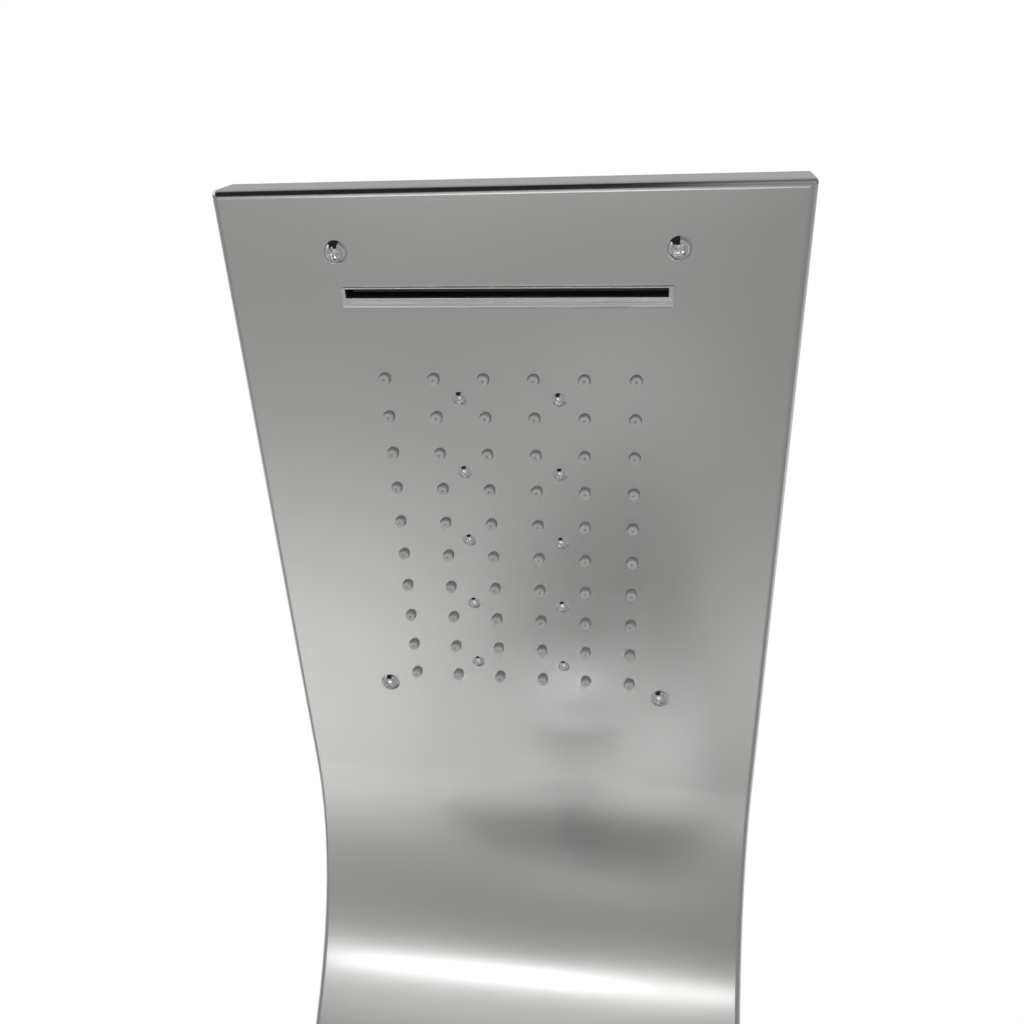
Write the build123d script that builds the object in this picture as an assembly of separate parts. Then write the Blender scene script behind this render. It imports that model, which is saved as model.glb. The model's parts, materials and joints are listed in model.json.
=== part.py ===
from build123d import *
import os
from math import atan, cos, radians, sin, sqrt
from itertools import pairwise

# Rainfall shower column, in millimetres.
# The wall is the plane Y = 0, the user stands on the -Y side, and Z is up.
# The origin is the middle of the upper wall bracket's screw pattern, on the wall.

# ---- panel ----
WIDTH = 220
SHEET = 1.2               # stainless sheet
RETURN = 18               # depth of the folded side walls
EDGE_RADIUS = 3
CORNER_RADIUS = 1.6
HEAD_TILT = 15            # the head rises towards its tip, degrees
HEAD_FLAT = 281.2           # straight length of the head
NECK_RADIUS = 178
EASE_RADIUS = 400         # soft bends above and below the body
BODY_LEAN = 6             # slope of the upper and lower body, degrees
UPPER_FLAT = 390
BELLY_RADIUS = 600
LOWER_FLAT = 480
FOOT_FLAT = 163
NECK_STANDOFF = 32        # wall to front face where the neck is upright
NECK_Z = 60

# ---- rain field ----
COLUMNS = 6
ROWS = 10
COLUMN_PITCH = 20
ROW_PITCH = 16.25
FIRST_ROW = 72.7          # from the tip edge
NOZZLE_RADIUS = 2.2
NOZZLE_TIP_RADIUS = 2.05
NOZZLE_PROUD = 2
NOZZLE_BORE = 0.35
MAT = 1.6                 # silicone mat
CHAMBER_HALF_WIDTH = 57
CHAMBER_START = 63.5
CHAMBER_END = 228.5
CHAMBER_BACK = 14.5
WALL = 2.5                # moulded walls

# ---- screws in the head ----
SMALL_SCREW_X = 20
SMALL_SHANK = 1.5
SMALL_HEAD = 2.9
SMALL_HEAD_RISE = 1.5
BIG_SCREW_X = 64
BIG_SCREW_ROWS = (22.8, 226.2)
BIG_SHANK = 2
BIG_HEAD = 4.5
BIG_HEAD_RISE = 3
COVER_DEPTH = 16.6        # front of the rear cover, behind the face
COVER_SHEET = 1.2
COVER_END = 440

# ---- waterfall outlet ----
SPOUT_HALF_LENGTH = 63.2
SPOUT_FRONT = 36
SPOUT_BACK = 44.1
SPOUT_PROUD = 1.2
SPOUT_WALL = 0.5          # thin front wall of the outlet
SHEET_OF_WATER = 3.4      # gap that the water leaves by
FLANGE = 1.5              # rim that holds the outlet behind the sheet
FALL_PORT_X = 84
FALL_ROOM = 7              # water room in front of and behind the outlet
FALL_DEPTH = 15           # back of the waterfall chamber
FALL_WALL = 2.5

# ---- hoses ----
HOSE_RADIUS = 6
HOSE_BORE = 4
HEAD_HOSE_DEPTH = 9       # hose centre behind the face in the head and neck
VALVE_HOSE_DEPTH = 28     # hose centre behind the face at the valves
PORT_X = 42               # side ports of the diverter
PORT_RADIUS = 8
FERRULE_LENGTH = 16
FERRULE_WALL = 1.5

# ---- valves ----
MIXER_BODY = 26
MIXER_NECK = 20.6
MIXER_BORE = 17.7
MIXER_BACK = 44           # back of the mixer behind the face
INLET_X = 16
INLET_REACH = 45
INLET_THREAD = 18
PIVOT_HEIGHT = 11         # pin of the lever in front of the face
DOME = 25
LEVER_REACH = 66
DIVERTER_NECK = 15.6
DIVERTER_BORE = 12.6
DIVERTER_HALF_WIDTH = 52
DIVERTER_HALF_HEIGHT = 17
SPINDLE = 6
SPLINE = 4
KNOB = 24

# ---- body jets ----
JET_BARREL = 23.8
JET_BALL = 19.7
JET_SEAT = 20
JET_RING = 31
JET_PORT = 36             # hose face of a jet, from its axis

# ---- hand shower and tub spout ----
CUP_TOP = 13.2
CUP_FOOT = 11.2
CUP_HALF = 15
CUP_OUT = 42              # hand shower axis in front of the face
STUD = 3
HANDLE_RADIUS = 14
HANDLE_TOP = 190
SPOUT_REACH = 120

# ---- wall brackets ----
BRACKET_HALF_WIDTH = 60
BRACKET_PLATE = 2.5
WALL_SCREW_SPACING = 90
WALL_SCREW_RADIUS = 3.25
FOOT_SCREW_X = (-60, 60)
FOOT_SCREW = 2

# ---- places down the body, measured along the face from the tip ----
JETS = (660, 770, 880)
DIVERTER = 1150
HOLDER = 1180
MIXER = 1300
OUTLET = 1430
TUB_SPOUT = 1660
HOLDER_X = 78
OUTLET_X = 70

RUNNING = 0.06            # radial play of a turning fit
FREE = 0.3                # play between bodies that never touch
HALF_INCH = 10.48         # radius of a G1/2 male thread


# ---------------------------------------------------------------- the panel's line

def bend(radius, degrees):
    return radius * radians(abs(degrees)), degrees


STRETCHES = [
    (HEAD_FLAT, 0),
    bend(NECK_RADIUS, 90 - HEAD_TILT),
    bend(EASE_RADIUS, BODY_LEAN),
    (UPPER_FLAT, 0),
    bend(BELLY_RADIUS, -2 * BODY_LEAN),
    (LOWER_FLAT, 0),
    bend(EASE_RADIUS, BODY_LEAN),
    (FOOT_FLAT, 0),
]
JOINTS = [sum(length for length, turn in STRETCHES[:count]) for count in range(1, len(STRETCHES))]
TOTAL = sum(length for length, turn in STRETCHES)
TILT = radians(HEAD_TILT)
TIP_Y = -NECK_STANDOFF - HEAD_FLAT * cos(TILT) - NECK_RADIUS * (1 - sin(TILT))
TIP_Z = NECK_Z + HEAD_FLAT * sin(TILT) + NECK_RADIUS * cos(TILT)


def station(distance):
    """Place on the front face at a distance from the tip: y, z and degrees below level."""
    y, z, slope = TIP_Y, TIP_Z, HEAD_TILT
    for length, turn in STRETCHES:
        step = min(distance, length)
        part = turn * step / length
        chord = step
        if part:
            chord = 2 * step / radians(part) * sin(radians(part) / 2)
        y += chord * cos(radians(slope + part / 2))
        z -= chord * sin(radians(slope + part / 2))
        slope += part
        distance -= step
    return y, z, slope


def point(distance, x=0, depth=0):
    """A point behind the front face, by its depth."""
    y, z, slope = station(distance)
    return Vector(x, y + depth * sin(radians(slope)), z + depth * cos(radians(slope)))


def face_plane(distance, x=0):
    """Frame on the front face: x to the right, y up the panel, z out towards the user."""
    slope = radians(station(distance)[2])
    return Plane(origin=point(distance, x), x_dir=(1, 0, 0), z_dir=(0, -sin(slope), -cos(slope)))


def place(distance, shape, x=0):
    return face_plane(distance, x).location * shape


def follow(start, end, x=0, depth=0):
    """Edges of a line that follows the panel at one depth."""
    stops = [start] + [joint for joint in JOINTS if start < joint < end] + [end]
    edges = []
    for low, high in pairwise(stops):
        first, middle, last = (point(at, x, depth) for at in (low, (low + high) / 2, high))
        if abs(station(low)[2] - station(high)[2]) < 1e-9:
            edges.append(Edge.make_line(first, last))
        else:
            edges.append(Edge.make_three_point_arc(first, middle, last))
    return edges


def strip(start, end, front, back, width):
    """A block that follows the panel between two depths."""
    edges = follow(start, end, 0, front)
    edges += [Edge.make_line(point(end, 0, front), point(end, 0, back))]
    edges += follow(start, end, 0, back)
    edges += [Edge.make_line(point(start, 0, front), point(start, 0, back))]
    outline = Face(Wire(edges))
    return extrude(outline, amount=width / 2, dir=(1, 0, 0), both=True)


def edges_at(solid, places):
    """The edges whose middle lies at one of the places."""
    found = []
    for edge in solid.edges():
        if any((edge.position_at(0.5) - spot).length < 0.5 for spot in places):
            found.append(edge)
    return found


def rounded_tray(inset, front, back, corner, edge):
    """A strip for the whole panel with its corners and its front rim rounded."""
    half = WIDTH / 2 - inset
    body = strip(inset, TOTAL - inset, front, back, 2 * half)
    middle = (front + back) / 2
    corners = [point(end, side * half, middle) for end in (inset, TOTAL - inset) for side in (-1, 1)]
    body = fillet(edges_at(body, corners), corner)
    rim = [edge_ for edge_ in body.edges() if on_rim(edge_, front, half, inset)]
    return fillet(rim, edge)


def on_rim(edge, front, half, inset):
    """True for an edge that lies on the front face and round its outline."""
    for at in (0.25, 0.75):
        spot = edge.position_at(at)
        if not on_depth(spot, front):
            return False
    spot = edge.position_at(0.5)
    near_side = abs(abs(spot.X) - half) < 4
    near_end = min((spot - point(end, spot.X, front)).length for end in (inset, TOTAL - inset)) < 4
    return near_side or near_end


def on_depth(spot, depth):
    """True where a point lies at that depth behind the face."""
    low, high = 0.0, TOTAL
    for _ in range(60):
        middle = (low + high) / 2
        here = point(middle, spot.X, depth)
        slope = radians(station(middle)[2])
        ahead = (spot.Y - here.Y) * cos(slope) - (spot.Z - here.Z) * sin(slope)
        if ahead > 0:
            low = middle
        else:
            high = middle
    return (spot - point(low, spot.X, depth)).length < 0.02


# ---------------------------------------------------------------- plain shapes

def rod(radius, low, high, x=0, y=0):
    """A round bar along z."""
    return Pos(x, y, low) * Cylinder(radius, high - low, align=(Align.CENTER, Align.CENTER, Align.MIN))


def rod_y(radius, low, high, x=0, z=0):
    """A round bar along y."""
    return Pos(x, low, z) * Rot(-90, 0, 0) * rod(radius, 0, high - low)


def rod_x(radius, low, high, y=0, z=0):
    """A round bar along x."""
    return Pos(low, y, z) * Rot(0, 90, 0) * rod(radius, 0, high - low)


def block(x0, x1, y0, y1, z0, z1):
    return Pos((x0 + x1) / 2, (y0 + y1) / 2, (z0 + z1) / 2) * Box(x1 - x0, y1 - y0, z1 - z0)


def ring(outer, inner, low, high):
    return rod(outer, low, high) - rod(inner, low - 1, high + 1)


def ring_y(outer, inner, low, high, x=0, z=0):
    return rod_y(outer, low, high, x, z) - rod_y(inner, low - 1, high + 1, x, z)


def spun(*outline):
    """A turned piece from its half outline of (radius, height) points."""
    profile = make_face(Polyline(*[(radius, 0, height) for radius, height in outline], close=True))
    return revolve(profile, Axis.Z)


def hexagon(across, low, high, bore):
    prism = Pos(0, 0, low) * extrude(RegularPolygon(across / sqrt(3), 6), high - low)
    return prism - rod(bore, low - 1, high + 1)


def group(solids):
    return Compound(children=[solid for piece in solids for solid in piece.solids()])


# ---------------------------------------------------------------- head

def head(shape):
    """From head measures to the room: y is minus the distance from the tip, z is minus the depth."""
    return place(0, shape)


def nozzle_spots():
    for row in range(ROWS):
        for column in range(COLUMNS):
            x = (column - (COLUMNS - 1) / 2) * COLUMN_PITCH
            yield x, -(FIRST_ROW + row * ROW_PITCH)


def small_screw_spots():
    for pair in range(ROWS // 2):
        for side in (-1, 1):
            yield side * SMALL_SCREW_X, -(FIRST_ROW + (2 * pair + 0.5) * ROW_PITCH)


def big_screw_spots():
    for row in BIG_SCREW_ROWS:
        for side in (-1, 1):
            yield side * BIG_SCREW_X, -row


def make_front_panel():
    skin = rounded_tray(0, 0, RETURN, CORNER_RADIUS, EDGE_RADIUS)
    hollow = rounded_tray(SHEET, SHEET, RETURN + 5, CORNER_RADIUS - SHEET, EDGE_RADIUS - SHEET)
    panel = skin - hollow
    cuts = [rod(NOZZLE_RADIUS + 0.25, -SHEET - 1, 1, x, y) for x, y in nozzle_spots()]
    cuts += [rod(SMALL_SHANK + 0.15, -SHEET - 1, 1, x, y) for x, y in small_screw_spots()]
    cuts += [rod(BIG_SHANK + 0.15, -SHEET - 1, 1, x, y) for x, y in big_screw_spots()]
    cuts += [spout_block(0.15, -SHEET - 1, 1)]
    panel = panel - [head(cut) for cut in cuts]
    through = -SHEET - 2
    openings = [place(jet, rod(JET_BARREL + FREE, through, 2)) for jet in JETS]
    openings += [place(DIVERTER, rod(DIVERTER_NECK + FREE, through, 2))]
    openings += [place(MIXER, rod(MIXER_NECK + FREE, through, 2))]
    openings += [place(HOLDER, rod(STUD + FREE, through, 2), HOLDER_X)]
    openings += [place(OUTLET, rod(HALF_INCH + FREE, through, 2), OUTLET_X)]
    openings += [place(TUB_SPOUT, rod(HALF_INCH + FREE, through, 2))]
    panel = panel - openings
    return panel - [foot_screw(x, FOOT_SCREW + 0.3) for x in FOOT_SCREW_X]


def make_head_rear_cover():
    play = 0.8
    width = WIDTH - 2 * (SHEET + play)
    cover = strip(SHEET + play, COVER_END, COVER_DEPTH, COVER_DEPTH + COVER_SHEET, width)
    cover = cover - [head(rod(BIG_SHANK + 0.15, -RETURN - 2, -15, x, y)) for x, y in big_screw_spots()]
    return cover


def make_rain_nozzles():
    """A silicone mat with a nipple for each hole of the rain field."""
    edge = CHAMBER_HALF_WIDTH - 1
    mat = block(-edge, edge, -CHAMBER_END + 1, -CHAMBER_START - 1, -SHEET - MAT, -SHEET)
    nipple = Cone(NOZZLE_RADIUS, NOZZLE_TIP_RADIUS, NOZZLE_PROUD, align=(Align.CENTER, Align.CENTER, Align.MIN))
    nipple = nipple + rod(NOZZLE_RADIUS, -SHEET - 0.5, 0)
    bore = rod(NOZZLE_BORE, -SHEET, NOZZLE_PROUD + 1) + rod(1.2, -SHEET - MAT - 1, 1)
    mat = mat + [Pos(x, y, 0) * nipple for x, y in nozzle_spots()]
    mat = mat - [Pos(x, y, 0) * bore for x, y in nozzle_spots()]
    mat = mat - [rod(SMALL_SHANK + 0.15, -SHEET - MAT - 1, 0, x, y) for x, y in small_screw_spots()]
    return head(mat)


def make_rain_chamber():
    """A moulded box that spreads the water over the mat, with a boss for each small screw."""
    front = -SHEET - MAT
    half = CHAMBER_HALF_WIDTH
    box = block(-half, half, -CHAMBER_END, -CHAMBER_START, -CHAMBER_BACK, front)
    room = block(-half + WALL, half - WALL, -CHAMBER_END + WALL, -CHAMBER_START - WALL, -CHAMBER_BACK + WALL, front)
    bosses = [rod(3.6, -CHAMBER_BACK, front, x, y) for x, y in small_screw_spots()]
    port = rod_y(HOSE_RADIUS, -CHAMBER_END - 18, -CHAMBER_END, -PORT_X, -HEAD_HOSE_DEPTH)
    box = (box - room) + bosses + port
    box = box - [rod(SMALL_SHANK + 0.05, -CHAMBER_BACK + 2, front + 1, x, y) for x, y in small_screw_spots()]
    box = box - rod_y(HOSE_BORE, -CHAMBER_END - 20, -CHAMBER_END + 2 * WALL, -PORT_X, -HEAD_HOSE_DEPTH)
    return head(box)


def dome_screw(head_radius, rise, shank, length, slot):
    """A domed screw that stands on z = 0 with a cross recess."""
    ball = (head_radius ** 2 + rise ** 2) / (2 * rise)
    cap = Pos(0, 0, rise - ball) * Sphere(ball)
    cap = cap & rod(head_radius + 1, 0, rise + 1)
    cross = block(-slot * 2.2, slot * 2.2, -slot / 2, slot / 2, rise * 0.4, rise + 1)
    cross = cross + Rot(0, 0, 90) * cross
    return cap - cross + rod(shank, -length, 0)


def make_chamber_screws():
    screw = dome_screw(SMALL_HEAD, SMALL_HEAD_RISE, SMALL_SHANK, CHAMBER_BACK - 2.2, 0.7)
    return group([head(Pos(x, y, 0) * screw) for x, y in small_screw_spots()])


def make_head_screws():
    screw = dome_screw(BIG_HEAD, BIG_HEAD_RISE, BIG_SHANK, COVER_DEPTH + COVER_SHEET + 3.5, 1.1)
    return group([head(Pos(x, y, 0) * screw) for x, y in big_screw_spots()])


def make_head_spacers():
    tube = ring(4, BIG_SHANK + 0.1, -COVER_DEPTH, -SHEET)
    return group([head(Pos(x, y, 0) * tube) for x, y in big_screw_spots()])


def make_head_cap_nuts():
    """Domed nuts on the back of the rear cover."""
    low = COVER_DEPTH + COVER_SHEET
    nut = Pos(0, 0, low) * extrude(RegularPolygon(7 / sqrt(3), 6), 3.2)
    nut = nut + (Pos(0, 0, low + 2) * Sphere(3.4) & rod(4, low, low + 6))
    nut = nut - rod(BIG_SHANK + 0.05, low - 1, low + 3.6)
    return group([head(Pos(x, y, 0) * Rot(180, 0, 0) * nut) for x, y in big_screw_spots()])


def spout_block(grow, low, high):
    """The outlet's outer block, in head measures."""
    solid = block(-SPOUT_HALF_LENGTH - grow, SPOUT_HALF_LENGTH + grow,
                  -SPOUT_BACK - grow, -SPOUT_FRONT + grow, low, high)
    return fillet(solid.edges().filter_by(Axis.Z), 1.2)


def make_waterfall_spout():
    """A sleeve with a narrow outlet on its tip side and a grooved lip on the other."""
    flange = block(-68, 68, -SPOUT_BACK - 5, -SPOUT_FRONT + 5, -SHEET - FLANGE, -SHEET)
    sleeve = spout_block(0, -10, SPOUT_PROUD) + flange
    gap_front = -SPOUT_FRONT - SPOUT_WALL
    gap = block(-SPOUT_HALF_LENGTH + 2, SPOUT_HALF_LENGTH - 2,
                gap_front - SHEET_OF_WATER, gap_front, -12, SPOUT_PROUD + 1)
    groove = block(-SPOUT_HALF_LENGTH + 2.4, SPOUT_HALF_LENGTH - 0.8,
                   -SPOUT_BACK + 1.2, -SPOUT_BACK + 1.7, SPOUT_PROUD - 0.4, SPOUT_PROUD + 1)
    return head(sleeve - gap - groove)


def make_waterfall_chamber():
    """A moulded box behind the outlet, with a side wing that takes the hose."""
    front = -SHEET - FLANGE
    near = -SPOUT_FRONT + FALL_ROOM
    far = -SPOUT_BACK - FALL_ROOM - 3
    left, right = -70, 96
    wall = FALL_WALL
    room_back = wall - FALL_DEPTH
    box = block(left, right, far, near, -FALL_DEPTH, front)
    box = box - block(left + wall, right - wall, far + wall, near - wall, room_back, front - FLANGE)
    box = box - block(left + wall, -left - wall, far + 2 * wall, near - wall / 2, room_back, front)
    box = box + rod_y(HOSE_RADIUS, far - 18, far, FALL_PORT_X, -HEAD_HOSE_DEPTH)
    box = box - rod_y(HOSE_BORE, far - 20, far + 4, FALL_PORT_X, -HEAD_HOSE_DEPTH)
    return head(box)


# ---------------------------------------------------------------- hoses

def jog(start, end, x_from, x_to, depth_from, depth_to):
    """Two equal arcs that carry a hose sideways or backwards along a straight stretch of the panel."""
    shift = abs(x_to - x_from) + abs(depth_to - depth_from)
    length = end - start
    turn = 2 * atan(shift / length)
    radius = length / (2 * sin(turn))
    ahead = radius * sin(turn / 2) / length
    side = radius * (1 - cos(turn / 2)) / shift

    def at(along, across):
        x = x_from + (x_to - x_from) * across
        depth = depth_from + (depth_to - depth_from) * across
        return point(start + along * length, x, depth)

    first = Edge.make_three_point_arc(at(0, 0), at(ahead, side), at(0.5, 0.5))
    second = Edge.make_three_point_arc(at(0.5, 0.5), at(1 - ahead, 1 - side), at(1, 1))
    return [first, second]


def tube(edges):
    """A hose along joined edges."""
    line = Wire(edges)
    start = line.position_at(0)
    across = Plane(origin=start, z_dir=line.tangent_at(0))
    return sweep(across * Circle(HOSE_RADIUS), path=line) - sweep(across * Circle(HOSE_BORE), path=line)


def make_hoses():
    rain_jog = jog(720, 840, -PORT_X, -PORT_X, HEAD_HOSE_DEPTH, VALVE_HOSE_DEPTH)
    fall_shift = jog(575, 690, FALL_PORT_X, PORT_X, HEAD_HOSE_DEPTH, HEAD_HOSE_DEPTH)
    fall_jog = jog(720, 840, PORT_X, PORT_X, HEAD_HOSE_DEPTH, VALVE_HOSE_DEPTH)
    block_top = DIVERTER - DIVERTER_HALF_HEIGHT - 12
    block_foot = DIVERTER + DIVERTER_HALF_HEIGHT + 12
    rain = follow(CHAMBER_END + 18, 720, -PORT_X, HEAD_HOSE_DEPTH) + rain_jog
    rain += follow(840, block_top, -PORT_X, VALVE_HOSE_DEPTH)
    fall_start = SPOUT_BACK + FALL_ROOM + 3 + 18
    fall = follow(fall_start, 575, FALL_PORT_X, HEAD_HOSE_DEPTH) + fall_shift
    fall += follow(690, 720, PORT_X, HEAD_HOSE_DEPTH) + fall_jog
    fall += follow(840, block_top, PORT_X, VALVE_HOSE_DEPTH)
    jets = follow(JETS[-1] + JET_PORT, block_top, 0, VALVE_HOSE_DEPTH)
    link = follow(block_foot, MIXER - MIXER_BODY - 14, 0, VALVE_HOSE_DEPTH)
    hand = follow(block_foot, 1300, PORT_X, VALVE_HOSE_DEPTH)
    hand += jog(1300, 1390, PORT_X, OUTLET_X, VALVE_HOSE_DEPTH, VALVE_HOSE_DEPTH)
    hand += follow(1390, OUTLET - 20, OUTLET_X, VALVE_HOSE_DEPTH)
    spout = follow(block_foot, 1320, -PORT_X, VALVE_HOSE_DEPTH)
    spout += jog(1320, 1430, -PORT_X, -PORT_X, VALVE_HOSE_DEPTH, HEAD_HOSE_DEPTH)
    spout += jog(1430, 1545, -PORT_X, 0, HEAD_HOSE_DEPTH, HEAD_HOSE_DEPTH)
    spout += follow(1545, TUB_SPOUT - 20, 0, HEAD_HOSE_DEPTH)
    routes = {
        "rain_hose": rain,
        "waterfall_hose": fall,
        "jet_supply_hose": jets,
        "mixer_link_hose": link,
        "hand_shower_hose": hand,
        "tub_spout_hose": spout,
    }
    hoses = {name: tube(edges) for name, edges in routes.items()}
    links = [follow(high + JET_PORT, low - JET_PORT, 0, VALVE_HOSE_DEPTH) for high, low in pairwise(JETS)]
    hoses["jet_link_hoses"] = group([tube(edges) for edges in links])
    ends = [ends_of(edges) for edges in list(routes.values()) + links]
    hoses["hose_ferrules"] = group([sleeve for pair in ends for sleeve in pair])
    return hoses


def ends_of(edges):
    """A crimped sleeve on each end of a hose."""
    line = Wire(edges)
    sleeves = []
    for at, inward in ((0, 1), (1, -1)):
        frame = Plane(origin=line.position_at(at), z_dir=line.tangent_at(at) * inward)
        sleeves.append(frame.location * ring(HOSE_RADIUS + FERRULE_WALL, HOSE_RADIUS + 0.05, 0.2, FERRULE_LENGTH))
    return sleeves


# ---------------------------------------------------------------- diverter

def make_diverter():
    low, high = VALVE_HOSE_DEPTH - 11, VALVE_HOSE_DEPTH + 11
    depth = -VALVE_HOSE_DEPTH
    half = DIVERTER_HALF_HEIGHT
    body = block(-DIVERTER_HALF_WIDTH, DIVERTER_HALF_WIDTH, -half, half, -high, -low)
    body = fillet(body.edges(), 3)
    body = body + rod(22, -high - 4, -SHEET) + rod(DIVERTER_NECK, -SHEET - 1, 9)
    for x in (-PORT_X, 0, PORT_X):
        body = body + rod_y(PORT_RADIUS, half - 1, half + 12, x, depth)
        body = body + rod_y(PORT_RADIUS, -half - 12, -half + 1, x, depth)
    body = body - rod(DIVERTER_BORE, -33, 12)
    for x in (-PORT_X, PORT_X):
        body = body - rod_y(HOSE_BORE, 8, half + 13, x, depth) - rod_y(HOSE_BORE, -half - 13, -8, x, depth)
        for y in (-8, 8):
            body = body - rod_x(3, min(0, x), max(0, x), y, depth)
    body = body - rod_y(HOSE_BORE, -half - 13, half + 13, 0, depth)
    cartridge = rod(DIVERTER_BORE - 0.1, -32.5, 10) - rod(SPINDLE + RUNNING, -20, 11)
    cartridge = cartridge - rod_y(HOSE_BORE, -15, 0, 0, depth)
    spindle = rod(SPINDLE, -19.5, 14) + rod(SPLINE, 14, 28)
    nut = hexagon(40, 0, 6, DIVERTER_NECK + 0.05)
    cup = spun((16.2, 7), (16.2, 9), (28, 9), (31, 6.5), (31, 0), (26, 0), (26, 7))
    knob = fillet(rod(KNOB, 9.6, 36).edges().group_by(Axis.Z)[-1], 2.5)
    flutes = [Rot(0, 0, turn * 15) * rod(1.6, 12, 33, KNOB + 0.6) for turn in range(24)]
    knob = knob - flutes - rod(18, 9, 15) - rod(SPLINE + 0.02, 9, 28.3)
    cap = fillet(rod(15, 36, 38.4).edges().group_by(Axis.Z)[-1], 1)
    pieces = {
        "diverter_body": body,
        "diverter_cartridge": cartridge,
        "diverter_spindle": spindle,
        "diverter_nut": nut,
        "diverter_escutcheon": cup,
        "diverter_knob": knob,
        "diverter_knob_cap": cap,
    }
    return {name: place(DIVERTER, piece) for name, piece in pieces.items()}


# ---------------------------------------------------------------- mixer

def make_mixer():
    depth = -VALVE_HOSE_DEPTH
    body = rod(MIXER_BODY, -MIXER_BACK, -SHEET) + rod(MIXER_NECK, -SHEET - 1, 9)
    body = body + rod_y(PORT_RADIUS, 20, MIXER_BODY + 14, 0, depth)
    for x in (-INLET_X, INLET_X):
        body = body + rod_y(HALF_INCH, -INLET_REACH, INLET_THREAD - INLET_REACH, x, depth)
        body = body + rod_y(HALF_INCH - 1, -INLET_REACH + 1, -10, x, depth)
    body = body - rod(MIXER_BORE, -16, 10)
    for x in (-INLET_X, INLET_X):
        body = body - rod_y(6, -INLET_REACH - 1, -8, x, depth) - rod(3.5, depth, -15, x * 0.65, -9)
    body = body - rod_y(HOSE_BORE, 9, MIXER_BODY + 15, 0, depth) - rod(3.5, depth, -15, 0, 11)
    cartridge = rod(MIXER_BORE - 0.1, -16, 9.5) - rod(9 + RUNNING, -8, 10)
    cartridge = cartridge - rod(3, -17, -12, -10.4, -9) - rod(3, -17, -12, 10.4, -9) - rod(3, -17, -12, 0, 11)
    turret = rod(9, -7.8, 15) - block(-3.1, 3.1, -10, 10, 5, 16) - rod_x(1.5, -10, 10, 0, PIVOT_HEIGHT)
    pin = rod_x(1.5, -8.8, 8.8, 0, PIVOT_HEIGHT)
    nut = ring(27, MIXER_NECK + 0.05, 0, 6)
    base = spun((28.5, 0), (36, 0), (36, 6), (34, 8), (23.3, 8), (23.3, 7), (28.5, 7))
    opening = 14.5
    dome = Pos(0, 0, PIVOT_HEIGHT) * (Sphere(DOME) - Sphere(DOME - 1.5))
    dome = dome & rod(DOME + 2, 7, 60)
    dome = dome - rod(opening, PIVOT_HEIGHT, 60)
    hub = spun((0, 20), (23, 20), (27, 24), (27, 40), (24, 43), (0, 43))
    arm = block(-8, 8, -LEVER_REACH, 0, 34, 42)
    arm = fillet(arm.edges(), 2.5)
    handle = hub + arm - Pos(0, 0, PIVOT_HEIGHT) * Sphere(DOME + 0.5)
    stem = block(-3, 3, -4.5, 4.5, PIVOT_HEIGHT - 4.5, 38)
    handle = handle + stem - rod_x(1.5 + RUNNING, -10, 10, 0, PIVOT_HEIGHT)
    pieces = {
        "mixer_body": body,
        "mixer_cartridge": cartridge,
        "mixer_turret": turret,
        "mixer_pivot_pin": pin,
        "mixer_nut": nut,
        "mixer_escutcheon": base + dome,
        "mixer_handle": handle,
    }
    return {name: place(MIXER, piece) for name, piece in pieces.items()}


# ---------------------------------------------------------------- body jets

def make_jet(number, distance, has_link):
    """A swivelling ball held between its barrel and a front ring; a nut clamps the panel."""
    depth = -VALVE_HOSE_DEPTH
    barrel = rod(JET_BARREL, -40, 1) + rod(27, 0, 2)
    barrel = barrel + rod_y(PORT_RADIUS, -JET_PORT, -20, 0, depth)
    if has_link:
        barrel = barrel + rod_y(PORT_RADIUS, 20, JET_PORT, 0, depth)
    barrel = barrel - rod(15, -36, 0) - Sphere(JET_SEAT) - rod(JET_SEAT, 0, 3)
    barrel = barrel - rod_y(HOSE_BORE, -JET_PORT - 1, 0, 0, depth)
    if has_link:
        barrel = barrel - rod_y(HOSE_BORE, 0, JET_PORT + 1, 0, depth)
    front = spun((27.2, 0), (JET_RING, 0), (JET_RING, 5), (28, 8), (10, 8), (10, 2.2), (27.2, 2.2))
    front = front - Sphere(JET_SEAT)
    ball = Sphere(JET_BALL) & rod(JET_SEAT, -12, 14)
    ball = ball - rod(9, -13, 10)
    spray = [Rot(0, 0, turn * 45) * rod(0.7, 9, 15, 8) for turn in range(8)]
    ball = ball - spray - rod(0.7, 9, 15)
    nut = hexagon(56, -8, -SHEET, JET_BARREL + 0.05)
    pieces = {"barrel": barrel, "ring": front, "ball": ball, "nut": nut}
    return {f"jet_{number}_{name}": place(distance, piece) for name, piece in pieces.items()}


# ---------------------------------------------------------------- hand shower

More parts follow.
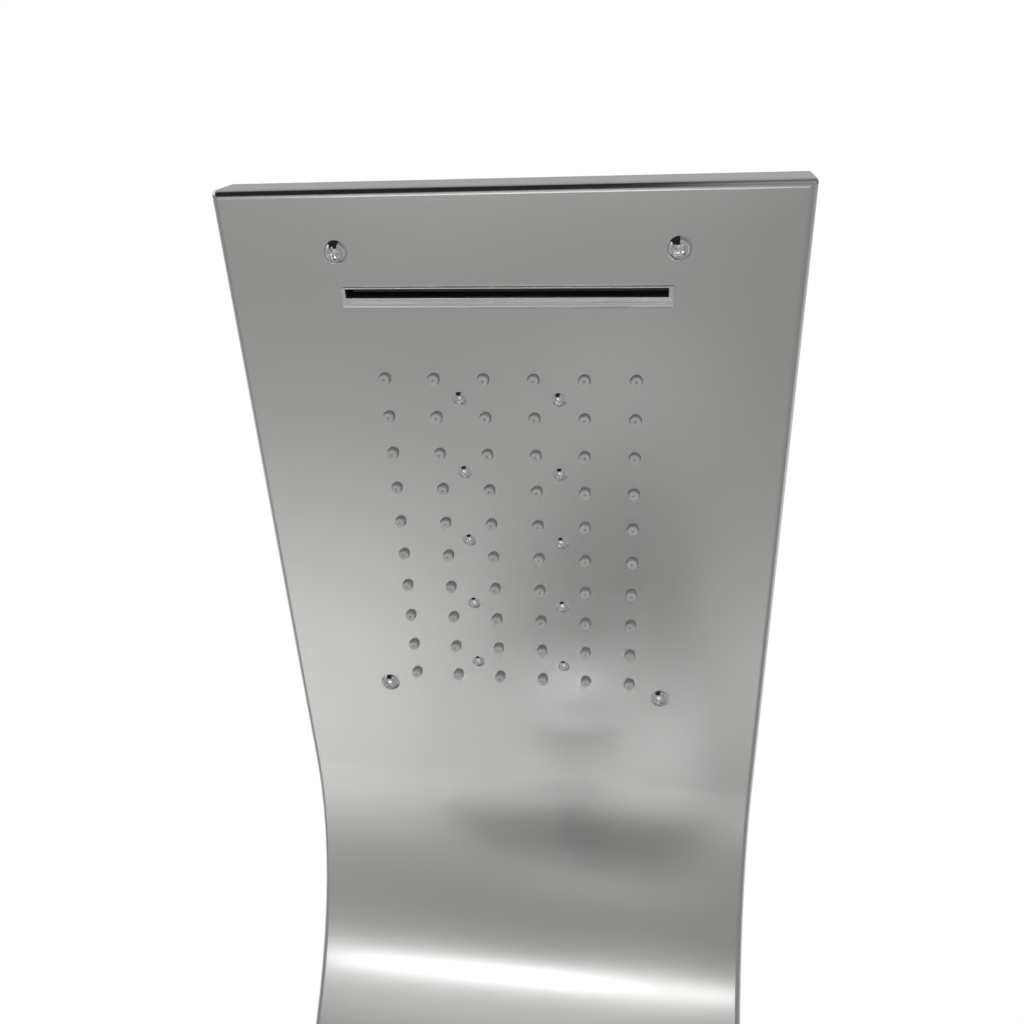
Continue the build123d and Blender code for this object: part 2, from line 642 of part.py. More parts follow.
def make_hand_shower():
    base = spun((0, 0), (15, 0), (15, 3), (13, 5), (7, 6), (7, CUP_OUT - 12), (0, CUP_OUT - 12))
    wall = 4
    cup_line = [(CUP_FOOT, -CUP_HALF), (CUP_FOOT + wall, -CUP_HALF)]
    cup_line += [(CUP_TOP + wall, CUP_HALF), (CUP_TOP, CUP_HALF)]
    upright = Pos(0, 0, CUP_OUT) * Rot(-90, 0, 0)
    cup = upright * spun(*cup_line)
    bore = upright * spun((0, -CUP_HALF - 1), (CUP_FOOT, -CUP_HALF - 1), (CUP_FOOT, -CUP_HALF),
                          (CUP_TOP, CUP_HALF), (CUP_TOP, CUP_HALF + 1), (0, CUP_HALF + 1))
    holder = base - bore + cup + rod(STUD, -12, 1)
    slot = block(-8, 8, -CUP_HALF - 1, CUP_HALF + 1, CUP_OUT, CUP_OUT + 30)
    holder = holder - slot
    nut = hexagon(10, -6, -SHEET, STUD + 0.05)
    play = FREE
    handset = upright * spun(
        (0, -29), (HALF_INCH, -29), (HALF_INCH, -CUP_HALF - 1), (CUP_FOOT - play, -CUP_HALF - 1),
        (CUP_FOOT - play, -CUP_HALF), (CUP_TOP - play, CUP_HALF), (CUP_TOP - play, CUP_HALF + play),
        (HANDLE_RADIUS + 1, CUP_HALF + play), (HANDLE_RADIUS - 1, 24), (HANDLE_RADIUS - 1, 90),
        (HANDLE_RADIUS + 1, 120), (HANDLE_RADIUS + 1, HANDLE_TOP - 6), (HANDLE_RADIUS - 4, HANDLE_TOP),
        (0, HANDLE_TOP))
    handset = handset - upright * rod(6, -30, 20)
    face = block(-20, 20, 118, HANDLE_TOP + 5, CUP_OUT + 10, CUP_OUT + 30)
    handset = handset - face
    holes = [rod(0.6, CUP_OUT + 6, CUP_OUT + 12, (column - 1.5) * 4.2, 126 + row * 6)
             for row in range(10) for column in range(4)]
    handset = handset - holes
    pieces = {"hand_shower_holder": holder, "holder_nut": nut, "hand_shower": handset}
    return {name: place(HOLDER, piece, HOLDER_X) for name, piece in pieces.items()}


def make_hose_outlet():
    """Elbow that the hand shower's hose screws onto."""
    elbow = rod(HALF_INCH, -34, 0) + rod(12.5, 4, 28) + spun((0, 0), (20, 0), (20, 2.5), (17, 4.5), (0, 4.5))
    elbow = elbow + rod_y(HALF_INCH, -30, 0, 0, 17) + rod_y(12.5, -14, 0, 0, 17)
    elbow = elbow + rod_y(PORT_RADIUS, 0, 20, 0, -VALVE_HOSE_DEPTH)
    elbow = elbow - rod_y(6, -31, 0, 0, 17) - rod(5, -VALVE_HOSE_DEPTH, 17)
    elbow = elbow - rod_y(HOSE_BORE, 0, 21, 0, -VALVE_HOSE_DEPTH)
    nut = hexagon(26, -8, -SHEET, HALF_INCH + 0.05)
    pieces = {"hose_outlet": elbow, "hose_outlet_nut": nut}
    return {name: place(OUTLET, piece, OUTLET_X) for name, piece in pieces.items()}


# ---------------------------------------------------------------- tub spout

def make_tub_spout():
    bar = block(-17, 17, -11, 11, 4, SPOUT_REACH)
    bar = fillet(bar.edges(), 3)
    bar = bar + block(-17, 17, -16, 0, SPOUT_REACH - 32, SPOUT_REACH - 3)
    spout = rod(HALF_INCH, -17, 6) + spun((0, 0), (25, 0), (25, 3), (22, 5), (0, 5)) + bar
    spout = spout + rod_y(7, 0, 20, 0, -HEAD_HOSE_DEPTH)
    spout = spout - rod_y(HOSE_BORE, 0, 21, 0, -HEAD_HOSE_DEPTH)
    spout = spout - rod(6, -HEAD_HOSE_DEPTH - 4, SPOUT_REACH - 12)
    outlet = SPOUT_REACH - 18
    spout = spout - rod_y(6, -17, 0, 0, outlet) - rod_y(10.1, -17, -10, 0, outlet)
    aerator = rod_y(10, -16.5, -10, 0, outlet)
    for radius in (3, 6):
        aerator = aerator - ring_y(radius + 0.6, radius - 0.6, -18, -12, 0, outlet)
    nut = hexagon(26, -6, -SHEET, HALF_INCH + 0.05) - block(-8, 8, 0, 20, -7, -2)
    pieces = {"tub_spout": spout, "tub_spout_nut": nut, "tub_spout_aerator": aerator}
    return {name: place(TUB_SPOUT, piece) for name, piece in pieces.items()}


# ---------------------------------------------------------------- wall brackets

def make_upper_bracket():
    """A plate on the wall with an upturned tongue, and the hooked bar that hangs on it."""
    half = BRACKET_HALF_WIDTH
    plate = block(-half, half, -BRACKET_PLATE, 0, -22, 15)
    plate = fillet(plate.edges().filter_by(Axis.Y), 3)
    plate = plate + block(-half + 5, half - 5, -11, -1, 12.5, 15)
    plate = plate + block(-half + 5, half - 5, -11, -8.5, 12.5, 28)
    hole = Rot(90, 0, 0) * rod(WALL_SCREW_RADIUS, -5, 5)
    plate = plate - [Pos(side * WALL_SCREW_SPACING / 2, 0, 0) * hole for side in (-1, 1)]
    reach = WIDTH / 2 - SHEET
    bar = block(-reach + 1, reach - 1, -15.5, -13.5, 5, 30)
    bar = bar + block(-reach + 1, reach - 1, -15.5, -4.5, 28, 30)
    bar = bar + block(-half - 20, half + 20, -6.5, -4.5, 17, 30)
    ears = [block(min(side * reach, side * (reach - 1.5)), max(side * reach, side * (reach - 1.5)),
                  -27, -13.5, 5, 30) for side in (-1, 1)]
    return {"upper_wall_bracket": plate, "upper_hanger": bar + ears}


def foot_screw(x, radius):
    """The hole or shank of a foot screw, upright through the panel's lower end."""
    return Pos(x, -13, point(TOTAL).Z) * rod(radius, -4, 8)


def make_lower_bracket():
    foot = point(TOTAL).Z + SHEET
    half = 75
    plate = block(-half, half, -BRACKET_PLATE, 0, foot, foot + 34)
    plate = plate + block(-half, half, -19, -1, foot, foot + 2.5)
    hole = Rot(90, 0, 0) * rod(WALL_SCREW_RADIUS, -5, 5)
    plate = plate - [Pos(side * WALL_SCREW_SPACING / 2, 0, foot + 22) * hole for side in (-1, 1)]
    plate = plate - [foot_screw(x, FOOT_SCREW + 0.05) for x in FOOT_SCREW_X]
    under = point(TOTAL).Z
    screw = rod(FOOT_SCREW, 0, 6) + (Sphere(3.8) & rod(4, -2.2, 0))
    screws = [Pos(x, -13, under) * screw for x in FOOT_SCREW_X]
    return {"lower_wall_bracket": plate, "foot_screws": group(screws)}


# ---------------------------------------------------------------- the whole column

def build():
    nodes = {
        "front_panel": make_front_panel(),
        "head_rear_cover": make_head_rear_cover(),
        "rain_nozzles": make_rain_nozzles(),
        "rain_chamber": make_rain_chamber(),
        "chamber_screws": make_chamber_screws(),
        "head_screws": make_head_screws(),
        "head_spacers": make_head_spacers(),
        "head_cap_nuts": make_head_cap_nuts(),
        "waterfall_spout": make_waterfall_spout(),
        "waterfall_chamber": make_waterfall_chamber(),
    }
    nodes.update(make_hoses())
    nodes.update(make_diverter())
    nodes.update(make_mixer())
    for number, distance in enumerate(JETS, start=1):
        nodes.update(make_jet(number, distance, number > 1))
    nodes.update(make_hand_shower())
    nodes.update(make_hose_outlet())
    nodes.update(make_tub_spout())
    nodes.update(make_upper_bracket())
    nodes.update(make_lower_bracket())
    return nodes


os.makedirs("parts", exist_ok=True)
for name, shape in build().items():
    export_step(shape, f"parts/{name}.step")
    print(f"{name:24} {len(shape.solids())} solids {shape.volume / 1000:9.2f} cm3")
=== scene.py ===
# %% [markdown]
# A wall-hung rainfall shower column, finished in Blender round a model that
# engineering software has already sized. This first cell loads that model. Each
# of its parts arrives as an object at the origin, in metres, and none of them is
# moved: they get finishes, or a finer piece stands in for them.

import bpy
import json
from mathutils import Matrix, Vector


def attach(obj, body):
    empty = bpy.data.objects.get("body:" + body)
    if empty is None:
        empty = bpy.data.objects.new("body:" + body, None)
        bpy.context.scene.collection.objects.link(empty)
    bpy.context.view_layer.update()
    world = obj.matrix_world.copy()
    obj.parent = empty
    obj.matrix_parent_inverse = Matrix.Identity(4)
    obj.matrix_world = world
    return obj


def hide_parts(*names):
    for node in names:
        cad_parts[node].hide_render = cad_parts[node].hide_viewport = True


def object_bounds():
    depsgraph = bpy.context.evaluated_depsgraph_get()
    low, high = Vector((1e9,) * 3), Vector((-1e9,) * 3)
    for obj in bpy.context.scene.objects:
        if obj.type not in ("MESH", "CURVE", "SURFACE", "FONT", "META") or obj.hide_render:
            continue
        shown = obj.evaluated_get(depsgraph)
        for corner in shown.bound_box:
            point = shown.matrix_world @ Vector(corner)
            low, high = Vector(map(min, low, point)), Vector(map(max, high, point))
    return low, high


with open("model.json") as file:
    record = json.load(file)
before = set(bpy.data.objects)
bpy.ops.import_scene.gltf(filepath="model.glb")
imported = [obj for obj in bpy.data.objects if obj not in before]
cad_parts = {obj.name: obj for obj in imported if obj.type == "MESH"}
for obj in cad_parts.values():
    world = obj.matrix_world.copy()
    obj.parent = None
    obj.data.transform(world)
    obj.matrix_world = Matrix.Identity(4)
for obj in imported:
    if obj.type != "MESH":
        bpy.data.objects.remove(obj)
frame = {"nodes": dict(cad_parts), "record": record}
cad_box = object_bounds()

# %% [markdown]
# The modules come next: bpy is Blender itself, and mathutils holds vectors and
# matrices. MM turns millimetres into metres, Blender's unit. Many operators act
# on all that is selected, and loading leaves every part selected, so the first
# helper empties the selection.

# %% Modules and units
import json
from math import atan2, cos, pi, radians, sin
import bpy
from mathutils import Euler, Matrix, Vector

MM = 0.001
scene = bpy.context.scene
node = frame["nodes"]


def deselect():
    bpy.ops.object.select_all(action="DESELECT")


deselect()

# %% [markdown]
# The camera looks up at the underside of the head from below and in front, a
# little to the right of the middle. A lens of 32 mm takes in the whole head with
# its sides running together towards the neck.

# %% Camera
bpy.ops.object.camera_add(location=(0.0559, -0.5673, -0.0065))
camera = bpy.context.object
camera.name = "camera"
camera.rotation_euler = Euler((radians(136.83), radians(-7.48), radians(4.48)))
camera.data.sensor_width = 36
camera.data.lens = 31.87
camera.data.clip_start = 0.01
scene.camera = camera
deselect()

# %% [markdown]
# A shader is a tree of nodes. Three small helpers keep the trees short: one adds
# a node and fills its sockets, one joins an output to an input, and one starts a
# new material with its Principled shader. Constants are set on the shader's own
# sockets, and only what varies over the surface is linked.

# %% Node helpers


def add(tree, kind, **values):
    """A new node with its input sockets filled by name."""
    made = tree.nodes.new(kind)
    for name, value in values.items():
        made.inputs[name.replace("_", " ")].default_value = value
    return made


def join(tree, source, output, target, name):
    tree.links.new(source.outputs[output], target.inputs[name])


def new_finish(name, color, roughness, metallic=0.0):
    """A material with its base colour, gloss and metalness set."""
    paint = bpy.data.materials.new(name)
    paint.use_nodes = True
    shader = paint.node_tree.nodes["Principled BSDF"]
    shader.inputs["Base Color"].default_value = (*color, 1)
    shader.inputs["Roughness"].default_value = roughness
    shader.inputs["Metallic"].default_value = metallic
    return paint, paint.node_tree, shader


def object_space(tree, scale=(1, 1, 1)):
    """Coordinates fixed to the object, in metres, stretched by a scale."""
    place = tree.nodes.new("ShaderNodeTexCoord")
    stretch = add(tree, "ShaderNodeMapping", Scale=scale)
    join(tree, place, "Object", stretch, "Vector")
    return stretch


def noise(tree, space, scale, detail=3.0):
    grain = add(tree, "ShaderNodeTexNoise", Scale=scale, Detail=detail)
    join(tree, space, "Vector", grain, "Vector")
    return grain


def spread(tree, source, output, low, high, start=0.3, end=0.7):
    """Turns a pattern's values between start and end into values between low and high."""
    span = add(tree, "ShaderNodeMapRange", From_Min=start, From_Max=end, To_Min=low, To_Max=high)
    join(tree, source, output, span, "Value")
    return span


def tint(tree, shader, pattern, dark, light):
    """The base colour runs between two colours with a pattern."""
    blend = tree.nodes.new("ShaderNodeValToRGB")
    blend.color_ramp.elements[0].position = 0.3
    blend.color_ramp.elements[1].position = 0.7
    blend.color_ramp.elements[0].color = (*dark, 1)
    blend.color_ramp.elements[1].color = (*light, 1)
    join(tree, pattern, "Fac", blend, "Fac")
    join(tree, blend, "Color", shader, "Base Color")


def bump(tree, shader, source, output, depth, before=None):
    """Raises the surface by depth metres where the pattern is 1."""
    relief = add(tree, "ShaderNodeBump", Strength=1.0, Distance=depth)
    join(tree, source, output, relief, "Height")
    if before:
        join(tree, before, "Normal", relief, "Normal")
    join(tree, relief, "Normal", shader, "Normal")
    return relief


# %% [markdown]
# The panel is stainless sheet, polished to a satin that still mirrors its room
# softly. Three things show on such a sheet: a slow waviness that bends the
# reflections, patches of slightly different gloss from handling, and a very fine
# orange-peel that widens every highlight.

# %% Satin steel
finish = {}


def satin_steel():
    paint, tree, shader = new_finish("satin_steel", (0.68, 0.68, 0.674), 0.2, 1.0)
    space = object_space(tree)
    patches = noise(tree, space, 7.0, 4.0)
    gloss = spread(tree, patches, "Fac", 0.17, 0.25)
    join(tree, gloss, "Result", shader, "Roughness")
    tint(tree, shader, noise(tree, space, 2.6, 2.0), (0.655, 0.653, 0.646), (0.705, 0.706, 0.703))
    waves = noise(tree, space, 5.0, 1.0)
    slow = bump(tree, shader, waves, "Fac", 0.35 * MM)
    peel = noise(tree, space, 900.0, 2.0)
    bump(tree, shader, peel, "Fac", 0.004 * MM, slow)
    return paint


finish["satin_steel"] = satin_steel()

# %% [markdown]
# Bright plating covers the screws, the water outlet and the handles. It is far
# glossier than the panel, with faint wiping marks and a trace of unevenness left
# by the polishing wheel.

# %% Chrome


def chrome():
    paint, tree, shader = new_finish("chrome", (0.84, 0.845, 0.85), 0.05, 1.0)
    space = object_space(tree)
    wiped = noise(tree, object_space(tree, (1, 1, 0.25)), 90.0, 5.0)
    gloss = spread(tree, wiped, "Fac", 0.035, 0.055)
    join(tree, gloss, "Result", shader, "Roughness")
    tint(tree, shader, noise(tree, space, 30.0), (0.82, 0.825, 0.83), (0.86, 0.865, 0.87))
    bump(tree, shader, noise(tree, space, 60.0, 1.0), "Fac", 0.001 * MM)
    return paint


finish["chrome"] = chrome()

# %% [markdown]
# Brackets, spacers and the hoses' crimped sleeves are plain mill-finish steel:
# duller, with the straight rolling grain left on. Stretching the coordinates
# along one direction turns round noise into that grain.

# %% Mill-finish steel


def bracket_steel():
    paint, tree, shader = new_finish("bracket_steel", (0.47, 0.47, 0.46), 0.38, 1.0)
    grain = noise(tree, object_space(tree, (0.04, 1, 1)), 1500.0, 3.0)
    gloss = spread(tree, grain, "Fac", 0.3, 0.5)
    join(tree, gloss, "Result", shader, "Roughness")
    tint(tree, shader, noise(tree, object_space(tree), 40.0, 5.0),
         (0.42, 0.42, 0.41), (0.52, 0.52, 0.51))
    bump(tree, shader, grain, "Fac", 0.012 * MM)
    return paint


finish["bracket_steel"] = bracket_steel()

# %% [markdown]
# The valve bodies and nuts behind the panel are machined brass, dulled in
# patches where the air has reached it.

# %% Brass


def brass():
    paint, tree, shader = new_finish("brass", (0.62, 0.47, 0.25), 0.3, 1.0)
    space = object_space(tree)
    dulled = noise(tree, space, 45.0, 6.0)
    gloss = spread(tree, dulled, "Fac", 0.22, 0.46)
    join(tree, gloss, "Result", shader, "Roughness")
    tint(tree, shader, dulled, (0.66, 0.50, 0.27), (0.45, 0.32, 0.17))
    turned = noise(tree, object_space(tree, (1, 0.05, 1)), 1200.0, 2.0)
    bump(tree, shader, turned, "Fac", 0.01 * MM)
    return paint


finish["brass"] = brass()

# %% [markdown]
# Moulded pieces are never one flat colour either. Silicone is matt, lets a
# little light in, and carries a soft sheen. The hard plastics have a fine
# spark-eroded texture from their mould.

# %% Silicone and plastics


def moulded(name, dark, light, rough_low, rough_high, texture, depth):
    """A moulded finish: colour and gloss vary slowly, and a fine texture covers it."""
    paint, tree, shader = new_finish(name, light, rough_high)
    space = object_space(tree)
    mottled = noise(tree, space, 60.0, 4.0)
    gloss = spread(tree, mottled, "Fac", rough_low, rough_high)
    join(tree, gloss, "Result", shader, "Roughness")
    tint(tree, shader, mottled, dark, light)
    bump(tree, shader, noise(tree, space, texture, 2.0), "Fac", depth)
    return paint, shader


silicone, silicone_shader = moulded(
    "grey_silicone", (0.78, 0.78, 0.77), (0.86, 0.86, 0.85), 0.4, 0.55, 2200.0, 0.01 * MM)
silicone_shader.inputs["Subsurface Weight"].default_value = 0.12
silicone_shader.inputs["Subsurface Scale"].default_value = 0.8 * MM
silicone_shader.inputs["Sheen Weight"].default_value = 0.08
finish["grey_silicone"] = silicone
finish["white_plastic"], _ = moulded(
    "white_plastic", (0.72, 0.72, 0.69), (0.80, 0.80, 0.78), 0.34, 0.46, 1400.0, 0.012 * MM)
finish["black_plastic"], _ = moulded(
    "black_plastic", (0.020, 0.020, 0.022), (0.045, 0.045, 0.048), 0.32, 0.5, 1400.0, 0.015 * MM)

# %% [markdown]
# The hoses wear a sleeve of braided steel wire. Two sets of thin ridges cross at
# an angle, and the dark rubber shows in the gaps between them. The ridges run
# along height minus depth, which grows steadily along every hose, from the foot
# of the panel, up round the neck, and out to the tip.

# %% Braided sleeve
BRAID_PITCH = 2.6 * MM


def braided_hose():
    paint, tree, shader = new_finish("braided_hose", (0.6, 0.6, 0.59), 0.3, 1.0)
    place = tree.nodes.new("ShaderNodeTexCoord")
    parts = tree.nodes.new("ShaderNodeSeparateXYZ")
    join(tree, place, "Object", parts, "Vector")
    along = tree.nodes.new("ShaderNodeMath")
    along.operation = "SUBTRACT"
    tree.links.new(parts.outputs["Z"], along.inputs[0])
    tree.links.new(parts.outputs["Y"], along.inputs[1])
    strands = []
    for lean in (-1, 1):
        across = tree.nodes.new("ShaderNodeMath")
        across.operation = "MULTIPLY_ADD"
        across.inputs[1].default_value = 1.3 * lean
        tree.links.new(parts.outputs["X"], across.inputs[0])
        tree.links.new(along.outputs[0], across.inputs[2])
        wave = tree.nodes.new("ShaderNodeMath")
        wave.operation = "SINE"
        turn = tree.nodes.new("ShaderNodeMath")
        turn.operation = "MULTIPLY"
        turn.inputs[1].default_value = 2 * pi / BRAID_PITCH
        tree.links.new(across.outputs[0], turn.inputs[0])
        tree.links.new(turn.outputs[0], wave.inputs[0])
        strands.append(wave)
    weave = tree.nodes.new("ShaderNodeMath")
    weave.operation = "MAXIMUM"
    tree.links.new(strands[0].outputs[0], weave.inputs[0])
    tree.links.new(strands[1].outputs[0], weave.inputs[1])
    gap = spread(tree, weave, 0, 0, 1, -0.45, 0.1)
    colors = tree.nodes.new("ShaderNodeValToRGB")
    colors.color_ramp.elements[0].color = (0.03, 0.03, 0.03, 1)
    colors.color_ramp.elements[1].color = (0.62, 0.62, 0.61, 1)
    join(tree, gap, "Result", colors, "Fac")
    join(tree, colors, "Color", shader, "Base Color")
    join(tree, gap, "Result", shader, "Metallic")
    bump(tree, shader, weave, 0, 0.25 * MM)
    return paint


finish["braided_hose"] = braided_hose()

# %% [markdown]
# Every part takes the finish that its record names, and a short count shows how
# many parts wear each one.

# %% Dress the parts
slot_of = {part["node"]: part["material_slot"] for part in frame["record"]["subparts"]}
for name, slot_name in slot_of.items():
    skin = node[name].data
    skin.materials.clear()
    skin.materials.append(finish[slot_name])
for slot_name in finish:
    print(slot_name, sum(1 for used in slot_of.values() if used == slot_name))

# %% [markdown]
# The head slopes, so its fittings are easiest to model flat and set in place
# afterwards. The slope and the height of the face are measured from the four big
# screws: they stand on the face in two rows. to_head carries a point from the
# room into head measures, x to the right, y towards the tip and z out of the
# face, and from_head carries it back.

# %% Measure the head
BIG_SCREW_RISE = 3 * MM
BIG_SCREW_RADIUS = 4.5 * MM
screw_points = [vertex.co for vertex in node["head_screws"].data.vertices]
tips = sorted(screw_points, key=lambda point: point.y)
front_low = min(tips[: len(tips) // 4], key=lambda point: point.z)
back_low = min(tips[-len(tips) // 4:], key=lambda point: point.z)
tilt = atan2(front_low.z - back_low.z, back_low.y - front_low.y)
out_of_face = Vector((0, -sin(tilt), -cos(tilt)))
towards_tip = Vector((0, -cos(tilt), sin(tilt)))
face_height = max(point.dot(out_of_face) for point in screw_points) - BIG_SCREW_RISE
from_head = Matrix.Identity(4)
from_head.col[0][:3] = (1, 0, 0)
from_head.col[1][:3] = towards_tip
from_head.col[2][:3] = out_of_face
from_head.col[3][:3] = out_of_face * face_height
to_head = from_head.inverted()
print("head slope", round(tilt * 180 / pi, 2), "degrees")


def spots_on_face(name, reach):
    """The middle of each lump of a part that stands out of the head's face."""
    lumps = []
    for vertex in node[name].data.vertices:
        spot = to_head @ vertex.co
        if spot.z < 0.4 * MM:
            continue
        for lump in lumps:
            if (lump[0].xy - spot.xy).length < reach:
                lump.append(spot)
                break
        else:
            lumps.append([spot])
    middles = []
    for lump in lumps:
        low_x, high_x = min(p.x for p in lump), max(p.x for p in lump)
        low_y, high_y = min(p.y for p in lump), max(p.y for p in lump)
        middles.append(Vector(((low_x + high_x) / 2, (low_y + high_y) / 2, 0)))
    return middles


# %% [markdown]
# A few modelling helpers. pick selects faces, edges or corners of the object
# being edited by a test on their place. bake_place puts a finished mesh in the room
# with its object at the origin, and stamp makes a copy of a model at each spot,
# each copy with a mesh of its own, and joins them into one piece.

# %% Modelling helpers


def pick(test, mode="FACE"):
    """Selects the parts of the edited mesh whose middle passes the test."""
    piece = bpy.context.object
    bpy.ops.mesh.select_mode(type=mode)
    bpy.ops.mesh.select_all(action="DESELECT")
    bpy.ops.object.mode_set(mode="OBJECT")
    mesh = piece.data
    corners = mesh.vertices
    if mode == "FACE":
        for face in mesh.polygons:
            face.select = test(face.center, face.normal)
    elif mode == "EDGE":
        for edge in mesh.edges:
            first, last = (corners[index].co for index in edge.vertices)
            edge.select = test(first, last)
    else:
        for corner in corners:
            corner.select = test(corner.co)
    bpy.ops.object.mode_set(mode="EDIT")


def edit():
    bpy.ops.object.mode_set(mode="EDIT")


def leave():
    bpy.ops.object.mode_set(mode="OBJECT")


def stretch_out(distance):
    """Extrudes the selected faces along z."""
    bpy.ops.mesh.extrude_region_move(TRANSFORM_OT_translate={"value": (0, 0, distance)})


def soften(piece, width, segments=3, angle=35):
    """Rounds every edge sharper than the angle, and applies it."""
    bevel = piece.modifiers.new("soft_edges", "BEVEL")
    bevel.width = width
    bevel.segments = segments
    bevel.limit_method = "ANGLE"
    bevel.angle_limit = radians(angle)
    bpy.ops.object.modifier_apply(modifier=bevel.name)
    bpy.ops.object.shade_smooth_by_angle(angle=radians(angle))


def cut_with(piece, cutter):
    """Takes one shape out of another, and removes the cutter."""
    hole = piece.modifiers.new("cut", "BOOLEAN")
    hole.operation = "DIFFERENCE"
    hole.solver = "EXACT"
    hole.object = cutter
    bpy.context.view_layer.objects.active = piece
    bpy.ops.object.modifier_apply(modifier=hole.name)
    bpy.data.objects.remove(cutter)


def bake_place(piece):
    """Puts the object's place into its mesh."""
    deselect()
    piece.select_set(True)
    bpy.context.view_layer.objects.active = piece
    bpy.ops.object.transform_apply(location=True, rotation=True, scale=True)


def dress(piece, name, slot_name, body, *stands_for):
    """Names a piece, gives it its finish and its body, and hides what it stands for."""
    piece.name = name
    piece.data.materials.clear()
    piece.data.materials.append(finish[slot_name])
    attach(piece, body)
    if stands_for:
        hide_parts(*stands_for)
    deselect()
    print(name, len(piece.data.polygons), "faces")


def stamp(model, frame_of, spots, turns=(0,)):
    """Copies a flat-lying model to each spot, joins the copies and removes the model."""
    copies = []
    for count, spot in enumerate(spots):
        copy = bpy.data.objects.new(model.name, model.data.copy())
        scene.collection.objects.link(copy)
        turn = Matrix.Rotation(turns[count % len(turns)], 4, "Z")
        copy.data.transform(frame_of @ Matrix.Translation(spot) @ turn)
        copies.append(copy)
    bpy.data.objects.remove(model)
    deselect()
    for copy in copies:
        copy.select_set(True)
    bpy.context.view_layer.objects.active = copies[0]
    bpy.ops.object.join()
    return bpy.context.object


# %% [markdown]
# The spray nozzles are soft nipples that poke through the sheet from a silicone
# mat behind it. One is modelled from a cylinder: its end is inset to leave a
# flat rim, the middle is pushed in for the jet's fine hole, and both rims are
# rounded. Sixty copies stand on the marks of the mat.

# %% Spray nozzles
NIPPLE_RADIUS = 2.2 * MM
NIPPLE_PROUD = 2 * MM
JET_HOLE = 0.38 * MM
nozzle_spots = spots_on_face("rain_nozzles", 6 * MM)
print("nozzles", len(nozzle_spots))

bpy.ops.mesh.primitive_cylinder_add(
    vertices=28, radius=NIPPLE_RADIUS, depth=NIPPLE_PROUD + 1.2 * MM,
    location=(0, 0, (NIPPLE_PROUD - 1.2 * MM) / 2))
nipple = bpy.context.object
bake_place(nipple)
edit()
pick(lambda place, normal: normal.z > 0.9)
bpy.ops.transform.resize(value=(0.96, 0.96, 1))
bpy.ops.mesh.inset(thickness=NIPPLE_RADIUS * 0.96 - JET_HOLE * 1.6, depth=0)
bpy.ops.mesh.inset(thickness=JET_HOLE * 0.6, depth=-0.2 * MM)
stretch_out(-1.5 * MM)
leave()
soften(nipple, 0.22 * MM, 3, 50)

# %% [markdown]
# The mat itself lies behind the sheet. A ring of it shows at the foot of each
# nipple, and from behind it closes the water chamber. A cube squashed to its size
# is inset and raised round the border, which gives it the sealing bead.

# %% Silicone mat
SHEET = 1.2 * MM
MAT = 1.6 * MM


def span_in_head(name):
    """Lowest and highest x and y of a part, in head measures."""
    points = [to_head @ vertex.co for vertex in node[name].data.vertices]
    low = Vector((min(p.x for p in points), min(p.y for p in points), min(p.z for p in points)))
    high = Vector((max(p.x for p in points), max(p.y for p in points), max(p.z for p in points)))
    return low, high


mat_low, mat_high = span_in_head("rain_nozzles")
mat_middle = (mat_low + mat_high) / 2
bpy.ops.mesh.primitive_cube_add(size=1, location=(mat_middle.x, mat_middle.y, -SHEET - MAT / 2))
mat = bpy.context.object
mat.scale = (mat_high.x - mat_low.x, mat_high.y - mat_low.y, MAT)
bake_place(mat)
edit()
pick(lambda place, normal: normal.z < -0.9)
bpy.ops.mesh.inset(thickness=3 * MM, depth=0)
stretch_out(0.5 * MM)
leave()
soften(mat, 0.3 * MM, 2)
mat.data.transform(from_head)
nipples = stamp(nipple, from_head, nozzle_spots)
deselect()
mat.select_set(True)
nipples.select_set(True)
bpy.context.view_layer.objects.active = nipples
bpy.ops.object.join()
dress(nipples, "spray_nozzle_mat", "grey_silicone", "column", "rain_nozzles")

# %% [markdown]
# Domed screws with a cross recess hold the head together. The dome is the top of
# a ball: a ball of the right radius is sunk until only its cap shows, and bisect
# clears away the rest. The cross is cut with two tapered bars, and the cut's
# edges are rounded a little, because a punched recess is never sharp.

# %% Screw model


def cross_screw(radius, rise, shank, length, slot_width, slot_length, slot_depth):
    """A domed screw that stands on z = 0, with its shank below."""
    ball = (radius ** 2 + rise ** 2) / (2 * rise)
    bpy.ops.mesh.primitive_uv_sphere_add(
        segments=64, ring_count=48, radius=ball, location=(0, 0, rise - ball))
    screw = bpy.context.object
    bake_place(screw)
    edit()
    bpy.ops.mesh.select_all(action="SELECT")
    bpy.ops.mesh.bisect(plane_co=(0, 0, 0), plane_no=(0, 0, 1), clear_inner=True, use_fill=True)
    pick(lambda place, normal: normal.z < -0.9 and place.z < 0.01 * MM)
    bpy.ops.mesh.inset(thickness=radius - shank, depth=0)
    stretch_out(-length)
    leave()
    for turn in (0, pi / 2):
        bpy.ops.mesh.primitive_cube_add(size=1, location=(0, 0, rise), rotation=(0, 0, turn))
        bar = bpy.context.object
        bar.scale = (slot_length, slot_width, slot_depth * 2)
        bake_place(bar)
        edit()
        pick(lambda place, normal: normal.z < -0.9)
        bpy.ops.transform.resize(value=(0.55, 0.7, 1))
        leave()
        cut_with(screw, bar)
    deselect()
    screw.select_set(True)
    bpy.context.view_layer.objects.active = screw
    soften(screw, 0.08 * MM, 2, 42)
    return screw


# %% [markdown]
# Ten small screws clamp the water chamber, and each sits in the rim of a thin
# washer. Four larger ones at the corners go right through to the rear cover.
# Real screws never stop at the same angle, so each copy is turned differently.

